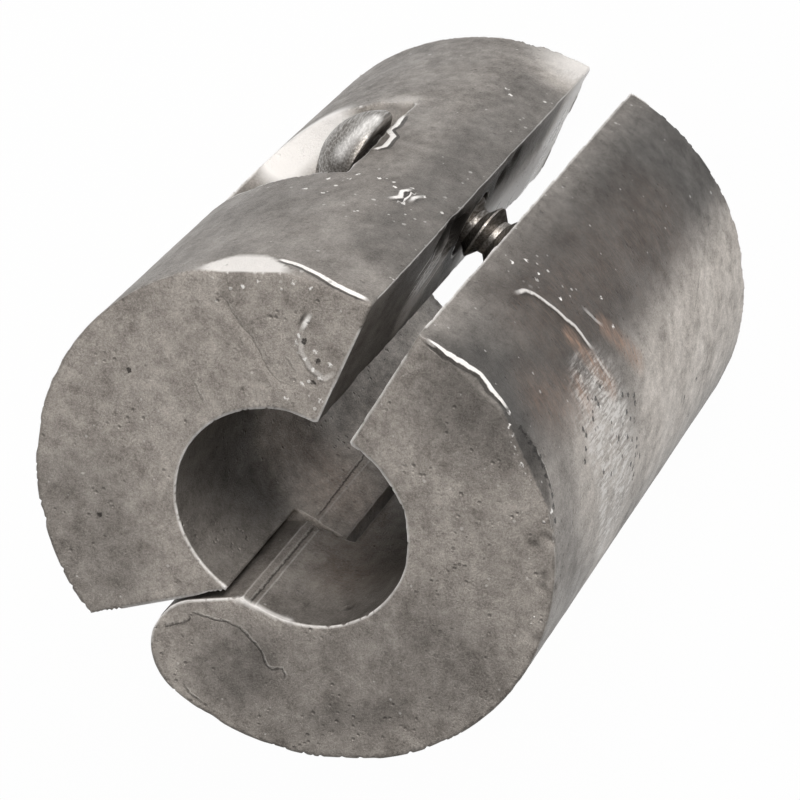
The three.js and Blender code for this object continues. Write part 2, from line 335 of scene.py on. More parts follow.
rightMarks = {
    "seed": 11,
    "draws": 110,
    "paintedFaceLight": 0.32,
    "creases": [
        crease(0.85, (-11.2, 4), (-10.5, 3.2), (-9.5, 2.3), (-8.7, 2.1), (-8.5, 1.6), (-8.3, 0.9),
            (-8, 0.3), (-7.9, -0.5), (-8.1, -1.2), (-8.3, -1.7), (-8.5, -2.2), (-8.9, -2.5), (-9.1, -3),
            (-9, -3.3), (-8.7, -3.6), (-8.9, -3.9), (-9.4, -4)),
        crease(0.9, (-6.1, -0.3), (-6.1, -0.3, 29.3)),
        crease(1, (11.4, -9.3, 38.4), (10.4, -10.5, 38.3), (9.2, -11.6, 38.5)),
        crease(0.6, (10.2, -10.8, 7.8), (9.5, -11.4, 9.5), (8.8, -12.1, 11.1)),
        crease(0.7, (-13.1, 1), (-13.5, 0.2), (-13.6, -0.8)),
    ],
    "ridges": [
        ridge(0.08, 0.75, (13.7, -3.7, 29.7), (13.7, -4, 28.7), (13.5, -4.5, 28.2), (13.3, -5.3, 27.9),
            (13.1, -6, 27.6), (12.8, -6.7, 27.4), (12.6, -7.3, 27), (12.1, -8.1, 26.9),
            (11.7, -8.8, 26.7)),
        ridge(0.04, 0.3, (11.7, -8.8, 26.7), (11.2, -9.5, 26.6), (10.4, -10.5, 26.1)),
        ridge(0, 0.35, (12.8, -6.9, 24.9), (12.2, -8, 24.4), (11.9, -8.5, 23.9)),
        ridge(0.05, 2, (13.9, -1.7, 39.4), (13.8, -2.9, 39.3), (13.6, -4.1, 38.9), (13.4, -5, 38.6),
            (13.1, -6, 38.8), (12.6, -7.2, 38.8)),
    ],
    "bevels": [
        bevel(0.75, 0.42, 0, 0.3, (13.9, -2.2), (13.6, -4.1), (13.1, -6), (12.3, -7.6)),
        bevel(1.25, 0.34, 0, -0.32, (12.8, -6.8), (11.4, -9.2), (10, -11), (8.6, -12.2)),
    ],
    # A painted highlight along the bore's rim.
    "paintedShines": [
        patch(0.35, 1, (-6.3, 0.5), (-6, -1, 39.4), (-5.7, -2.6, 39.3)),
    ],
    "beads": [
        (13.8, -3, 25.8), (13.9, -2.5, 27), (13.7, -4, 26.1), (13.2, -5.8, 26.3), (12.5, -7.5, 22.3),
        (11.6, -8.9, 22.9), (12.5, -7.3, 38.9), (12.2, -7.8, 39.4), (11.9, -8.2, 39.4),
        (11.6, -8.6, 39.4), (11.2, -9, 39.4), (10.8, -9.5, 39.4), (10.5, -9.9, 39.4), (10.1, -10.3, 39.4),
        (9.7, -10.8, 39.3), (9.3, -11.3, 39.2), (8.9, -11.9, 39.1),
    ],
    "pits": [
        (10.5, -10.4, 29), (10.2, -10.7, 28.9), (10, -10.9, 30.2), (9.5, -11.4, 25.2), (8.7, -12.1, 25.2),
        (8.9, -11.9, 23.5), (8.6, -12.2, 23.6), (7.6, -12.9, 25.7), (6.5, -13.5, 24.1),
        (5.7, -13.9, 23.4), (5.5, -14, 24.7), (9.8, -11.1, 31.8), (10.1, -10.8, 32), (8.1, -12.5, 27.2),
        (7, -13.2, 29.1), (5.3, -14.1, 11), (5.2, -14.1, 13.7), (3, -14.8, 11.2), (8.4, -12.3, 38.9),
        (5.5, -13.8, 38.8), (2.5, -14.6, 38.9), (6.8, -13.2, 38.2), (12, -8.3, 38.7), (11.8, -8.7, 38.6),
        (11.5, -9.1, 38.5), (11.2, -9.5, 38.4), (10.9, -9.9, 38.3), (10.6, -10.3, 38.3),
        (10.2, -10.7, 38.4), (9.8, -11.1, 38.4), (9.4, -11.5, 38.5), (9, -11.8, 38.7), (9.2, -11.6, 24.4),
        (8.2, -12.4, 24.8), (7.9, -12.6, 24.2), (7.2, -13.1, 24.9), (6.9, -13.3, 24), (6.1, -13.7, 24.3),
        (6, -13.8, 25.2), (5, -14.2, 24.3), (9.4, -11.5, 32.4), (9, -11.8, 33), (10.6, -10.2, 27.8),
        (7.6, -12.9, 30.4),
    ],
    "speckles": [
        patch(2.6, 0.7, (13.9, -2.2, 27), (13.2, -5.6, 24)),
        patch(0.6, 1, (12, -8), (10.1, -10.3, 39.4), (8.9, -11.9, 39.1)),
        patch(1.1, 1, (8.5, -11.8), (3, -13.9)),
        patch(3.6, 1, (9.8, -11, 29), (5.5, -14, 27)),
    ],
    "pitting": [
        patch(3.4, 1, (10.2, -10.6, 29.5), (7, -13.2, 26), (4, -14.6, 25)),
        patch(0.7, 1, (8.6, -12.2, 39.2), (5.5, -13.9, 39), (1.5, -14.8, 39)),
        patch(4.5, 0.4, (-2, -9), (6, -9)),
        patch(6, 0.25, (13, -6, 36), (13, -6, 10)),
    ],
    "scrapes": [
        patch(4.6, 2.2, (9.7, -11.2, 28.7), (5.5, -14, 28)),
    ],
    "copper": [
        patch(1.2, 1.1, (12.5, -7.4, 28.1), (11.6, -9, 27.6), (10.2, -10.7, 26.4)),
        patch(1, 1, (11.4, -9.2, 30.3), (10.5, -10.4, 30.2)),
        patch(1.3, 1, (11.9, -8.5, 23.9), (11.1, -9.6, 23), (9.9, -11, 21.5)),
        patch(3.4, 0.4, (12, -8.2, 35), (11, -9.6, 31)),
        patch(6, 0.2, (13, -5.8, 30), (12.4, -7.3, 10)),
        patch(4, 0.4, (-5, -4, 33), (-5.8, -1.6, 26)),
    ],
    "bumps": [
        bumps(1.2, 7, 0.2, -0.12, (8.4, -12.3, 39.3)),
        bumps(2, 12, 0.2, -0.12, (5.5, -13.8, 39.3)),
        bumps(1.6, 6, 0.2, -0.1, (2, -14.6, 39.3)),
        bumps(2.6, 30, 0.18, -0.08, (8.8, -12, 27)),
        bumps(2.6, 30, 0.18, -0.08, (6.4, -13.6, 26.6)),
        bumps(0.7, 4, 0.22, -0.08, (-4.5, -4.8, 37)),
    ],
    # Tone patches: painted light, shade and reflection, with some darker tarnish.
    "tonesAndPaintedLight": [
        patch(6, -0.48, (12.9, -6, 38), (12.9, -6, 1)),
        patch(3, 0.18, (13.9, -1.6, 36), (13.6, -4.2, 33)),
        patch(7, 0.66, (6.5, -13.2, 19), (7, -12.9, 2)),
        patch(6, 0.5, (7.5, -12.8, 31), (4, -14.6, 27)),
        patch(1.3, -0.14, (-10.2, -6.8), (-8.6, -8.7), (-7, -10.2)),
        patch(3.2, -0.34, (-9.5, -1), (-11, -1)),
        patch(6, -0.27, (-3, -10.5), (-9, -5)),
        patch(3, 0.12, (-4.8, -3.6, 38), (-5.6, -2, 20)),
        patch(2, 0.16, (-6.1, 0.4, 38), (-6.1, -1, 30)),
    ],
}


# A copy of the plain solid with an even, fine skin that lies on the solid again.
def fineSkin(name, node):
    bm = bmesh.new()
    bm.from_mesh(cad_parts[node].data)
    bmesh.ops.remove_doubles(bm, verts=bm.verts, dist=casting["weld"] * mm)
    sharp = [
        [np.array(vert.co) / mm for vert in edge.verts] for edge in bm.edges
        if edge.is_manifold and edge.calc_face_angle() > math.radians(casting["sharpAngle"])
    ]
    piece = objectFrom(name, bm)
    remesh = piece.modifiers.new("fine skin", "REMESH")
    remesh.mode = "VOXEL"
    remesh.voxel_size = casting["voxel"] * mm
    wrap = piece.modifiers.new("back on the solid", "SHRINKWRAP")
    wrap.wrap_method = "NEAREST_SURFACEPOINT"
    wrap.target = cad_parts[node]
    applyModifiers(piece)
    return piece, sharp


# Draws points close to a sharp edge onto it, and gives each point's distance to the edges.
def snapToEdges(points, sharp):
    best = np.full(len(points), farAway)
    target = points.copy()
    for start, end in sharp:
        away, _ = nearestOnStretch(points, start, end)
        gap = np.linalg.norm(away, axis=1)
        nearer = gap < best
        best = np.where(nearer, gap, best)
        target = np.where(nearer[:, None], points - away, target)
    close = best < casting["edgeSnap"] * casting["voxel"]
    return np.where(close[:, None], target, points), np.where(close, 0, best)


# The strongest of some patches at each point, each a line with a width.
def inPatches(points, patches):
    strongest = np.zeros(len(points))
    for area in patches:
        near = fade(lineDistance(points, area["at"]), area["width"]) * area["amount"]
        strongest = np.maximum(strongest, near)
    return strongest


# Signed distance of each point to the nearest of some creases or ridges, and its strength.
def markField(points, normals, marks):
    nearest = np.full(len(points), lineShape["reach"])
    signed = np.ones(len(points))
    strength = np.zeros(len(points))
    for mark in marks:
        gap, passed, length = lineField(points, normals, mark["at"])
        ends = np.minimum(passed, length - passed) / lineShape["endTaper"]
        beside = lineShape["fadeRate"] * (lineShape["fadeOut"] - np.abs(gap))
        on = np.clip(ends, 0, 1) * mark["strength"] * np.clip(beside, 0, 1)
        nearer = np.abs(gap) < nearest
        nearest = np.where(nearer, np.abs(gap), nearest)
        signed = np.where(nearer, gap, signed)
        strength = np.where(nearer, on, strength)
    return signed, strength


# Distance of each point to the nearest spot, up to 1 mm.
def nearestSpot(points, spots):
    best = np.ones(len(points))
    for spot in lifted(spots):
        best = np.minimum(best, np.linalg.norm(points - spot, axis=1))
    return best


# How far points move in towards the bore for the flats worn on the rim, and where these flats get a
# painted highlight, a tone painted lighter or darker, and a dull edge.
def bevelMoves(points, bevels):
    shape = flatShape
    inward, paintedShine, toneAndPaintedLight, dull = np.zeros((4, len(points)))
    below = bodyTop - points[:, 2]
    radius = np.hypot(points[:, 0], points[:, 1])
    level = points.copy()
    level[:, 2] = bodyTop
    for flat in bevels:
        gap, passed, length = lineField(level, np.ones_like(level), flat["at"])
        ends = smoothStep(np.minimum(passed, length - passed) / (shape["endShare"] * length))
        onRim = fade(np.abs(gap), shape["reach"]) * (radius > shape["innerRadius"])
        drop = flat["drop"] * (shape["endDrop"] + (1 - shape["endDrop"]) * ends)
        slope = np.clip(1 - below / drop, 0, 1)
        inward += flat["depth"] * ends * onRim * slope
        within = np.clip(ends * shape["endRate"], 0, 1)
        band = (np.abs(gap) < shape["band"]) * (below > shape["underFace"])
        facet = np.clip(slope * shape["slopeRate"], 0, 1) * within * band
        paintedShine = np.maximum(paintedShine, facet * flat["paintedShine"])
        toneAndPaintedLight += facet * flat["toneAndPaintedLight"]
        dull = np.maximum(dull, (1 - flat["paintedShine"]) * within * (onRim > shape["dullFrom"]))
    return inward, paintedShine, toneAndPaintedLight, dull


# Raised burrs and sunk nicks, scattered about a few middles.
def bumpMoves(points, clusters, random):
    move = np.zeros(len(points))
    for bump in clusters:
        middle = np.array(bump["at"])
        for _ in range(bump["count"]):
            spot = middle + random.normal(0, bump["reach"] / 2, 3)
            reach = bump["size"] * random.uniform(*casting["burrSpread"])
            move += bump["height"] * fade(np.linalg.norm(points - spot, axis=1), reach)
    return move


# How far each point moves along its normal. The slow waves, the sandy skin and the bitten
# edges only ever take lead away.
def skinMoves(points, edgeGap, waves, marks):
    ripples = fractalAt(points, *casting["ripples"], marks["seed"] + casting["rippleSeed"])
    bites = fractalAt(points, *casting["bites"], marks["seed"] + casting["biteSeed"])
    byEdge = fade(edgeGap, casting["edgeBiteReach"])
    move = casting["swell"] * (waves - 1) / 2
    move += casting["ripple"] * (ripples - 1) / 2
    move -= casting["edgeBite"] * byEdge * np.clip(bites * casting["biteGain"], 0, 1)
    for mark in marks["ridges"]:
        move += mark["height"] * fade(lineDistance(points, mark["at"]), casting["ridgeWidth"])
    return move


# The distance for the bright edge, wear with a painted edge highlight, with its width lessened on the rim,
# in the bore and by dull flats.
def wornEdgeAndHighlight(points, edgeGap, radius, dull):
    onRim = (radius > casting["rimRadius"]) & (points[:, 2] > bodyTop - casting["rimDepth"])
    inBore = (radius < casting["boreRadius"]) & (points[:, 2] < bodyTop - casting["boreDepth"])
    lessened = onRim * casting["rimGap"] + inBore * casting["boreGap"] + dull * casting["dullGap"]
    return edgeGap + lessened


def sculptCasting(piece, sharp, marks):
    mesh = piece.data
    points, edgeGap = snapToEdges(vertexArray(mesh), sharp)
    setVertices(mesh, points)
    normals = readVectors(mesh.vertices, "normal")
    random = np.random.default_rng(marks["draws"])

    waves = fractalAt(points, *casting["swells"], marks["seed"])
    move = skinMoves(points, edgeGap, waves, marks)
    burrs = bumpMoves(points, marks["bumps"], random)
    inward, paintedShine, toneAndPaintedLight, dull = bevelMoves(points, marks["bevels"])
    radius = np.hypot(points[:, 0], points[:, 1])
    radial = points * (1, 1, 0) / radius[:, None]
    moved = points + normals * (move + burrs)[:, None] - radial * inward[:, None]
    low, high = np.array(cadBox[0]) / mm, np.array(cadBox[1]) / mm
    setVertices(mesh, np.clip(moved, low, high))

    # Upward faces such as the end face are painted lighter, and the tone patches paint light, shade and
    # reflection.
    turn, turnOver = casting["faceTurn"]
    faceLight = marks["paintedFaceLight"] * smoothStep((normals[:, 2] - turn) / turnOver)
    toneAndPaintedLight += casting["middleTone"] + casting["waveTone"] * waves + faceLight
    for area in marks["tonesAndPaintedLight"]:
        near = 1 - lineDistance(points, area["at"]) / area["width"]
        toneAndPaintedLight += smoothStep(casting["toneCore"] * near) * area["amount"]
    addField(mesh, "edgeGap", wornEdgeAndHighlight(points, edgeGap, radius, dull))
    addField(mesh, "toneAndPaintedLight", toneAndPaintedLight, 0, casting["brightest"])
    addField(mesh, "paintedShine", np.maximum(paintedShine, inPatches(points, marks["paintedShines"])))
    # Sunk nicks, which the material darkens with painted shade.
    addField(mesh, "hollow", -burrs / casting["deepNick"])
    for name in ("creases", "ridges"):
        signed, strength = markField(points, normals, marks[name])
        addField(mesh, name, signed, -lineShape["reach"], lineShape["reach"])
        addField(mesh, name + "On", strength, 0, lineShape["strongest"])
    for name in ("beads", "pits"):
        addField(mesh, name, nearestSpot(points, marks[name]))
    for name in ("speckles", "pitting", "scrapes", "copper"):
        addField(mesh, name, inPatches(points, marks[name]))
    mesh.shade_smooth()


def buildCasting(name, node, body, marks):
    piece, sharp = fineSkin(name, node)
    sculptCasting(piece, sharp, marks)
    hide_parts(node)
    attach(piece, body)
    print(name, len(piece.data.vertices), "points", len(sharp), "sharp edges")
    return piece


screw = {
    "seat": (9.679, 8.573, 18.6),  # middle of the seat under the head
    "lean": 3.0,  # the axis is turned this far from +Y, degrees
    "length": 15.9,
    "plainLength": 4.2,
    "crestRadius": 1.75,
    "rootRadius": 1.15,
    "pitch": 1.41,
    "crestWidth": 0.12,
    "flankShare": 0.12,  # share of the pitch that each side of the root takes up
    "coilRise": 0.6,  # how far the thread starts inside the plain shank, in pitches
    "spareTurns": 1,
    "pointLength": 4.5,
    "pointRadius": 0.2,
    "neckLength": 0.5,  # the plain shank narrows over this, inside the thread
    "neckInset": 0.2,
    "fillet": 0.25,
    "headRadius": 3.4,
    "headHeight": 2.6,
    "headRim": 0.35,
    "rimBreak": 0.08,
    "domeSteps": 14,
    "slotWidth": 1.0,
    "slotDepth": 1.3,
    "slotTurn": 62.0,  # the driver's slot, degrees about the axis
    "roundSteps": 96,
    "threadSteps": 48,
    "headWeld": 0.001,
    "coilWeld": 0.002,
    "smoothAngle": 35,
    "highlightLine": [(11.0, 9.7, 21.3), (12.3, 9.3, 20.3), (12.9, 9.1, 19.2)],  # the painted highlight on the head's dome
    "highlightLineWidth": 0.8,
}


# A line of points (radius, height) wound about Z, sinking by a drop at each step.
def wound(profile, turns, steps, drop, weld):
    bm = bmesh.new()
    verts = [bm.verts.new((radius, 0, height)) for radius, height in profile]
    edges = [bm.edges.new(pair) for pair in zip(verts[:-1], verts[1:])]
    bmesh.ops.spin(bm, geom=verts + edges, cent=(0, 0, 0), axis=(0, 0, 1), dvec=(0, 0, -drop),
                   angle=2 * math.pi * turns, steps=steps, use_merge=drop == 0, use_duplicate=False)
    bmesh.ops.remove_doubles(bm, verts=bm.verts, dist=weld)
    return bm


def headAndShank():
    s = screw
    rise = s["headHeight"] - s["headRim"]
    domeRadius = (s["headRadius"] ** 2 + rise ** 2) / (2 * rise)
    neck = -s["plainLength"] - s["neckLength"]
    profile = [
        (0, neck),
        (s["rootRadius"] - s["neckInset"], neck),
        (s["crestRadius"], -s["plainLength"]),
        (s["crestRadius"], -s["fillet"]),
        (s["crestRadius"] + s["fillet"], 0),
        (s["headRadius"] - s["rimBreak"], 0),
        (s["headRadius"], s["rimBreak"]),
        (s["headRadius"], s["headRim"]),
    ]
    widest = math.asin(s["headRadius"] / domeRadius)
    for step in range(1, s["domeSteps"]):
        angle = widest * (1 - step / s["domeSteps"])
        height = s["headHeight"] - domeRadius * (1 - math.cos(angle))
        profile.append((domeRadius * math.sin(angle), height))
    profile.append((0, s["headHeight"]))
    bm = wound(profile, 1, s["roundSteps"], 0, s["headWeld"])
    bmesh.ops.recalc_face_normals(bm, faces=bm.faces)
    return bm


# Everything past the point's shoulder narrows towards the tip.
def narrowPoint(bm):
    s = screw
    lowest = min(vert.co.z for vert in bm.verts)
    for vert in bm.verts:
        past = (lowest + s["pointLength"] - vert.co.z) / s["pointLength"]
        if past > 0:
            narrow = 1 - past * (1 - s["pointRadius"] / s["rootRadius"])
            vert.co.x *= narrow
            vert.co.y *= narrow


# The thread, wound down a helix and closed at both ends.
def threadCoil():
    s = screw
    halfCrest = s["crestWidth"] / 2
    middle = s["pitch"] / 2
    top = -s["plainLength"] + s["pitch"] * s["coilRise"]
    outline = [
        (s["rootRadius"], top),
        (s["rootRadius"], top - s["flankShare"] * s["pitch"]),
        (s["crestRadius"], top + (halfCrest - middle)),
        (s["crestRadius"], top - (middle + halfCrest)),
        (s["rootRadius"], top - (1 - s["flankShare"]) * s["pitch"]),
        (s["rootRadius"], top - s["pitch"]),
    ]
    turns = math.floor((s["length"] + top) / s["pitch"]) - s["spareTurns"]
    drop = s["pitch"] / s["threadSteps"]
    bm = wound(outline, turns, turns * s["threadSteps"], drop, s["coilWeld"])
    rims = [edge for edge in bm.edges if len(edge.link_faces) == 1]
    bmesh.ops.holes_fill(bm, edges=rims, sides=0)
    bmesh.ops.triangulate(bm, faces=[face for face in bm.faces if len(face.verts) > 4])
    narrowPoint(bm)
    bmesh.ops.recalc_face_normals(bm, faces=bm.faces)
    return bm


def cutDriverSlot(piece):
    s = screw
    bm = bmesh.new()
    bmesh.ops.create_cube(bm, size=1)
    bmesh.ops.scale(bm, vec=(3 * s["headRadius"], s["slotWidth"], 2 * s["slotDepth"]), verts=bm.verts)
    turn = Matrix.Rotation(math.radians(s["slotTurn"]), 3, "Z")
    bmesh.ops.rotate(bm, cent=(0, 0, 0), matrix=turn, verts=bm.verts)
    bmesh.ops.translate(bm, vec=(0, 0, s["headHeight"]), verts=bm.verts)
    knife = objectFrom("driverSlotKnife", bm)
    cut = piece.modifiers.new("driver slot", "BOOLEAN")
    cut.operation = "DIFFERENCE"
    cut.solver = "EXACT"
    cut.object = knife
    applyModifiers(piece)
    bpy.data.objects.remove(knife)


def buildScrew():
    s = screw
    piece = objectFrom("clampScrew", headAndShank())
    cutDriverSlot(piece)

    bm = bmesh.new()
    bm.from_mesh(piece.data)
    coil = threadCoil()
    coilMesh = bpy.data.meshes.new("thread")
    coil.to_mesh(coilMesh)
    coil.free()
    bm.from_mesh(coilMesh)
    bpy.data.meshes.remove(coilMesh)
    toAxis = Matrix.Rotation(math.radians(s["lean"]), 4, "Z") @ Matrix.Rotation(math.radians(-90), 4, "X")
    place = Matrix.Translation(Vector(s["seat"])) @ toAxis
    bmesh.ops.transform(bm, matrix=Matrix.Scale(mm, 4) @ place, verts=bm.verts)
    bm.to_mesh(piece.data)
    bm.free()
    piece.data.shade_smooth()
    piece.data.set_sharp_from_angle(angle=math.radians(s["smoothAngle"]))
    # A painted highlight along the head's dome.
    highlightLine = fade(lineDistance(vertexArray(piece.data), s["highlightLine"]), s["highlightLineWidth"])
    addField(piece.data, "paintedShine", highlightLine)
    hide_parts("clamp_screw")
    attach(piece, "screw_body")
    print("screw", len(piece.data.polygons), "faces")
    return piece


# Links an output to a socket, or sets a plain value on it.
def feed(tree, value, socket):
    if hasattr(value, "is_output"):
        tree.links.new(value, socket)
    else:
        socket.default_value = value


def nodeIn(tree, kind, **inputs):
    node = tree.nodes.new(kind)
    for label, value in inputs.items():
        feed(tree, value, node.inputs[label])
    return node


def calc(tree, operation, *values, clamp=False):
    node = tree.nodes.new("ShaderNodeMath")
    node.operation = operation
    node.use_clamp = clamp
    for socket, value in zip(node.inputs, values):
        feed(tree, value, socket)
    return node.outputs[0]


def plus(tree, a, b, clamp=False):
    return calc(tree, "ADD", a, b, clamp=clamp)


def minus(tree, a, b, clamp=False):
    return calc(tree, "SUBTRACT", a, b, clamp=clamp)


def times(tree, a, b, clamp=False):
    return calc(tree, "MULTIPLY", a, b, clamp=clamp)


# The largest of some values, between 0 and 1.
def largest(tree, first, *others):
    for other in others:
        first = calc(tree, "MAXIMUM", first, other, clamp=True)
    return first


# A height less the distance over a width, between 0 and 1.
def falling(tree, distance, width, height=1):
    return minus(tree, height, calc(tree, "DIVIDE", distance, width), clamp=True)


def ranged(tree, value, low, high, toLow=0.0, toHigh=1.0):
    inputs = {"Value": value, "From Min": low, "From Max": high, "To Min": toLow, "To Max": toHigh}
    return nodeIn(tree, "ShaderNodeMapRange", **inputs).outputs["Result"]


# The mix node has sockets for each kind of value. These are the colours'.
colourA, colourB, colourResult = 6, 7, 2


def mixColour(tree, share, a, b, blend="MIX"):
    node = tree.nodes.new("ShaderNodeMix")
    node.data_type = "RGBA"
    node.blend_type = blend
    feed(tree, share, node.inputs["Factor"])
    feed(tree, a, node.inputs[colourA])
    feed(tree, b, node.inputs[colourB])
    return node.outputs[colourResult]


# Noises are given below as their scale, detail and roughness, and ranges as the two values
# that become 0 and 1, or as these two and what they become.
def noiseAt(tree, place, scale, detail, roughness=0.6):
    inputs = {"Vector": place, "Scale": scale, "Detail": detail, "Roughness": roughness}
    return nodeIn(tree, "ShaderNodeTexNoise", **inputs).outputs["Fac"]


# A value that wavers about 0 over the surface.
def wavering(tree, place, noiseSettings, amount):
    return times(tree, minus(tree, noiseAt(tree, place, *noiseSettings), 0.5), amount)


def stretched(tree, place, scale):
    return nodeIn(tree, "ShaderNodeMapping", Vector=place, Scale=scale).outputs["Vector"]


# A node group with vector and number inputs and number outputs.
def newGroup(name, inputs, outputs):
    group = bpy.data.node_groups.new(name, "ShaderNodeTree")
    for label, value in inputs.items():
        kind = "NodeSocketVector" if value is None else "NodeSocketFloat"
        socket = group.interface.new_socket(label, in_out="INPUT", socket_type=kind)
        if value is not None:
            socket.default_value = value
    for label in outputs:
        group.interface.new_socket(label, in_out="OUTPUT", socket_type="NodeSocketFloat")
    return group, group.nodes.new("NodeGroupInput").outputs, group.nodes.new("NodeGroupOutput").inputs


grainLook = {
    "scales": {"Mottle Scale": 300.0, "Grain Scale": 7000.0, "Pit Scale": 2000.0},
    "mottle": (6, 0.68),  # without the scale
    "grain": (4, 0.8),
    "pitEdge": (0.10, 0.26, 1, 0),
    "pitPatch": (420, 3),
    "pitPatchEdge": (0.54, 0.62),
    "pitDepth": 0.8,
}


# Mottling, grain and small pits over any metal skin, with a height for bumps.
def skinGroup():
    inputs = {"Place": None, **grainLook["scales"]}
    group, given, made = newGroup("metalSkin", inputs, ("Mottle", "Grain", "Pits", "Height"))
    place = given["Place"]
    mottle = noiseAt(group, place, given["Mottle Scale"], *grainLook["mottle"])
    fine = noiseAt(group, place, given["Grain Scale"], *grainLook["grain"])
    cells = nodeIn(group, "ShaderNodeTexVoronoi", Vector=place, Scale=given["Pit Scale"])
    specks = ranged(group, cells.outputs["Distance"], *grainLook["pitEdge"])
    some = ranged(group, noiseAt(group, place, *grainLook["pitPatch"]), *grainLook["pitPatchEdge"])
    pits = times(group, specks, some)
    height = minus(group, fine, times(group, pits, grainLook["pitDepth"]))
    for label, value in (("Mottle", mottle), ("Grain", fine), ("Pits", pits), ("Height", height)):
        group.links.new(value, made[label])
    return group


dotLook = {"warp": (2500, 2), "warpAmount": 0.30, "size": (0, 1, 0.24, 0.42), "edge": 0.07}


# Sparse small dots of uneven size.
def dotsGroup():
    group, given, made = newGroup("looseDots", {"Place": None, "Scale": 1600.0, "Share": 0.5}, ("Dots",))
    cells = nodeIn(group, "ShaderNodeTexVoronoi", Vector=given["Place"], Scale=given["Scale"])
    warp = noiseAt(group, given["Place"], *dotLook["warp"])
    bent = plus(group, cells.outputs["Distance"], times(group, warp, dotLook["warpAmount"]))
    split = nodeIn(group, "ShaderNodeSeparateColor", Color=cells.outputs["Color"])
    chosen = calc(group, "LESS_THAN", split.outputs["Red"], given["Share"])
    size = ranged(group, split.outputs["Green"], *dotLook["size"])
    inside = calc(group, "DIVIDE", minus(group, size, bent), dotLook["edge"], clamp=True)
    group.links.new(times(group, inside, chosen), made["Dots"])
    return group


lineInputs = {"Place": None, "Gap": 1.0, "Strength": 0.0}
creaseLook = {
    "width": 0.07,
    "waver": (2600, 5, 0.75),
    "waverAmount": 0.40,
    "lipAt": 2,  # in widths beside the line
    "patch": (900, 3),
    "patchEdge": (0.3, 0.6),
}


# A fine wavering line of painted shade and its pale lip, a painted highlight, from a signed distance in
# millimetres.
def creaseGroup():
    inputs = {**lineInputs, "Width": creaseLook["width"]}
    group, given, made = newGroup("creaseLine", inputs, ("Line", "Lip"))
    waver = wavering(group, given["Place"], creaseLook["waver"], creaseLook["waverAmount"])
    gap = plus(group, given["Gap"], waver)
    line = falling(group, calc(group, "ABSOLUTE", gap), given["Width"])
    beside = calc(group, "ABSOLUTE", minus(group, gap, times(group, given["Width"], creaseLook["lipAt"])))
    lip = falling(group, beside, given["Width"])
    uneven = ranged(group, noiseAt(group, given["Place"], *creaseLook["patch"]), *creaseLook["patchEdge"])
    strength = times(group, given["Strength"], uneven, clamp=True)
    group.links.new(times(group, line, given["Strength"]), made["Line"])
    group.links.new(times(group, lip, strength), made["Lip"])
    return group


ridgeLook = {
    "width": 0.12,
    "waver": (1500, 3),
    "waverAmount": 0.16,
    "broad": 1.5,  # above 1, the line keeps a broad bright middle
    "shadowAt": 2.1,  # in widths beside the line
}


# A raised line's painted highlight and the painted shadow beside it, from a signed distance in
# millimetres.
def ridgeGroup():
    inputs = {**lineInputs, "Width": ridgeLook["width"]}
    group, given, made = newGroup("ridgeLine", inputs, ("Line", "Shadow"))
    waver = wavering(group, given["Place"], ridgeLook["waver"], ridgeLook["waverAmount"])
    gap = plus(group, given["Gap"], waver)
    line = falling(group, calc(group, "ABSOLUTE", gap), given["Width"], ridgeLook["broad"])
    beside = calc(group, "ABSOLUTE", plus(group, gap, times(group, given["Width"], ridgeLook["shadowAt"])))
    shadow = falling(group, beside, given["Width"])
    group.links.new(times(group, line, given["Strength"], clamp=True), made["Line"])
    group.links.new(times(group, shadow, given["Strength"], clamp=True), made["Shadow"])
    return group


spotLook = {"waver": (6000, 3), "waverAmount": 0.36, "edge": 0.05}


# A small ragged spot, from the distance to its middle in millimetres.
def spotGroup():
    group, given, made = newGroup("raggedSpot", {"Place": None, "Gap": 1.0, "Size": 0.16}, ("Spot",))
    waver = wavering(group, given["Place"], spotLook["waver"], spotLook["waverAmount"])
    inside = minus(group, given["Size"], plus(group, given["Gap"], waver))
    group.links.new(calc(group, "DIVIDE", inside, spotLook["edge"], clamp=True), made["Spot"])
    return group


scratchLook = {"scale": 4000.0, "noise": (3, 0.7), "edge": (0.42, 0.66)}


# Long scratches, stretched by the scale of the place that is given.
def streakGroup():
    inputs = {"Place": None, "Scale": scratchLook["scale"]}
    group, given, made = newGroup("longScratches", inputs, ("Streaks",))
    fine = noiseAt(group, given["Place"], given["Scale"], *scratchLook["noise"])
    group.links.new(ranged(group, fine, *scratchLook["edge"]), made["Streaks"])
    return group


def placedGroup(tree, group, place, **values):
    node = tree.nodes.new("ShaderNodeGroup")
    node.node_tree = group
    tree.links.new(place, node.inputs["Place"])
    for label, value in values.items():
        feed(tree, value, node.inputs[label.replace("_", " ")])
    return node.outputs


def newMaterial(name):
    material = bpy.data.materials.new(name)
    material.use_nodes = True
    tree = material.node_tree
    tree.nodes.clear()
    output = tree.nodes.new("ShaderNodeOutputMaterial")
    shader = tree.nodes.new("ShaderNodeBsdfPrincipled")
    tree.links.new(shader.outputs[0], output.inputs["Surface"])
    place = tree.nodes.new("ShaderNodeTexCoord").outputs["Object"]
    return material, tree, shader, place


# A value that the mesh carries for each of its points.
def mask(tree, name):
    node = tree.nodes.new("ShaderNodeAttribute")
    node.attribute_name = name
    return node.outputs["Fac"]


def finish(tree, shader, colour, roughness, metallic):
    for label, value in (("Base Color", colour), ("Roughness", roughness), ("Metallic", metallic)):
        feed(tree, value, shader.inputs[label])


def bumped(tree, shader, height, strength, distance):
    bump = nodeIn(tree, "ShaderNodeBump", Strength=strength, Distance=distance * mm, Height=height)
    tree.links.new(bump.outputs["Normal"], shader.inputs["Normal"])


skin = skinGroup()
dots = dotsGroup()
creaseLine = creaseGroup()
ridgeLine = ridgeGroup()
raggedSpot = spotGroup()
scratches = streakGroup()


